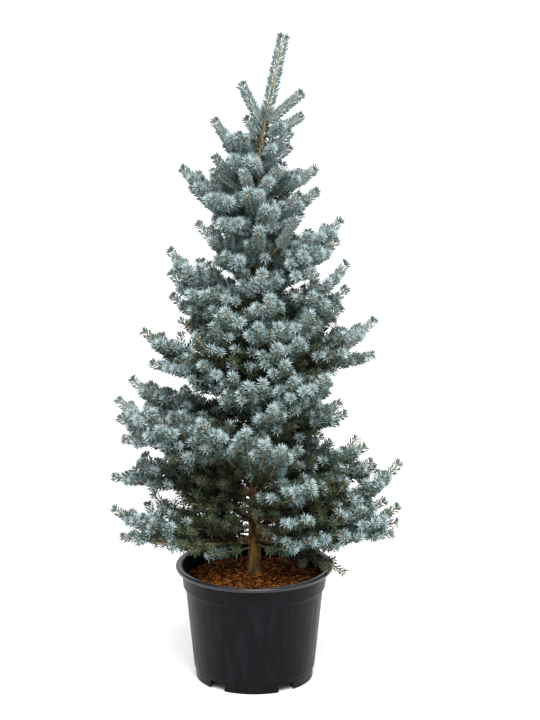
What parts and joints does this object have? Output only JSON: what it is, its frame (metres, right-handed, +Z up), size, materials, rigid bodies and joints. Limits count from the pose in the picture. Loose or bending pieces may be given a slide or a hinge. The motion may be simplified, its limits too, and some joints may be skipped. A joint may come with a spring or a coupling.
{
  "type": "potted blue spruce",
  "caption": "Young blue spruce with ascending boughs and a leaning leader, growing in a round black nursery pot with a rolled lip and notched foot.",
  "frame": {"origin": "centre of the pot's flat underside, on the surface that the pot stands on", "axes": "+Z up along the trunk, -Y towards the viewer's side of the crown, +X to the viewer's right, the side the leader leans to"},
  "size_m": [0.6526, 0.524, 1.5027],
  "materials": {
    "pot": "charcoal black moulded plastic, matte, a little glossier on the rolled lip",
    "soil": "rough red-brown bark and fibre mulch",
    "bark": "rough grey-brown bark with paler flakes, orange-brown on young twigs",
    "needles": "waxy silver-blue needles"
  },
  "bodies": {
    "root": {"pot": "pot", "soil": "soil", "trunk": "bark", "limb_fourth_left": "bark", "limb_fourth_right": "bark", "limb_low_back_left": "bark", "limb_low_back_right": "bark", "limb_low_left": "bark", "limb_low_right": "bark", "limb_mid_right": "bark", "limb_second_back_left": "bark", "limb_second_back_right": "bark", "limb_second_front": "bark", "limb_second_front_left": "bark", "limb_second_left": "bark", "limb_second_left_high": "bark", "limb_third_front_right": "bark", "limb_third_left": "bark", "foliage_eighth_left": "needles", "foliage_eighth_right": "needles", "foliage_fifth_back": "needles", "foliage_fifth_front_left": "needles", "foliage_fifth_left": "needles", "foliage_fifth_right": "needles", "foliage_fourth_back": "needles", "foliage_fourth_front": "needles", "foliage_fourth_front_left": "needles", "foliage_fourth_front_right": "needles", "foliage_fourth_left": "needles", "foliage_fourth_right": "needles", "foliage_leader": "needles", "foliage_low_back_left": "needles", "foliage_low_back_right": "needles", "foliage_low_front_left": "needles", "foliage_low_front_right": "needles", "foliage_low_left": "needles", "foliage_low_right": "needles", "foliage_low_right_droop": "needles", "foliage_mid_right": "needles", "foliage_second_back_left": "needles", "foliage_second_back_right": "needles", "foliage_second_front": "needles", "foliage_second_front_left": "needles", "foliage_second_left": "needles", "foliage_second_left_high": "needles", "foliage_second_right": "needles", "foliage_second_right_front": "needles", "foliage_seventh_left": "needles", "foliage_seventh_right": "needles", "foliage_sixth_back": "needles", "foliage_sixth_front": "needles", "foliage_sixth_left": "needles", "foliage_sixth_right": "needles", "foliage_third_back": "needles", "foliage_third_front": "needles", "foliage_third_front_right": "needles", "foliage_third_left": "needles", "foliage_third_right": "needles", "foliage_top_left": "needles", "foliage_top_right": "needles"}
  },
  "joints": []
}
